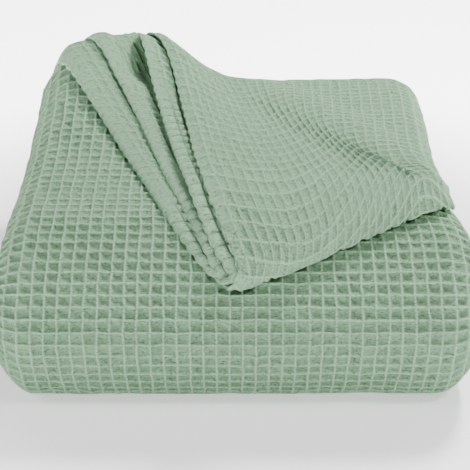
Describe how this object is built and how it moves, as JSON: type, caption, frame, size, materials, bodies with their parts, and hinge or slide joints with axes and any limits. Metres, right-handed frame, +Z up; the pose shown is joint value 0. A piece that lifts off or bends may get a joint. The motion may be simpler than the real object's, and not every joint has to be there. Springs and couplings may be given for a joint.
{
  "type": "folded waffle weave cotton blanket",
  "caption": "Waffle weave cotton blanket folded back and forth into a thick soft pack with a rounded front, its last plies fanned out over the top and turned under in a slanting fold.",
  "frame": {"origin": "centre of the folded stack's box, on the surface that it rests on", "axes": "+Z up, -Y towards the rounded front, +X towards the end with the flat top"},
  "size_m": [0.383, 0.348, 0.2116],
  "materials": {
    "sage_cotton": "matte waffle weave with a soft cotton nap"
  },
  "bodies": {
    "root": {"blanket": "sage_cotton"}
  },
  "joints": []
}
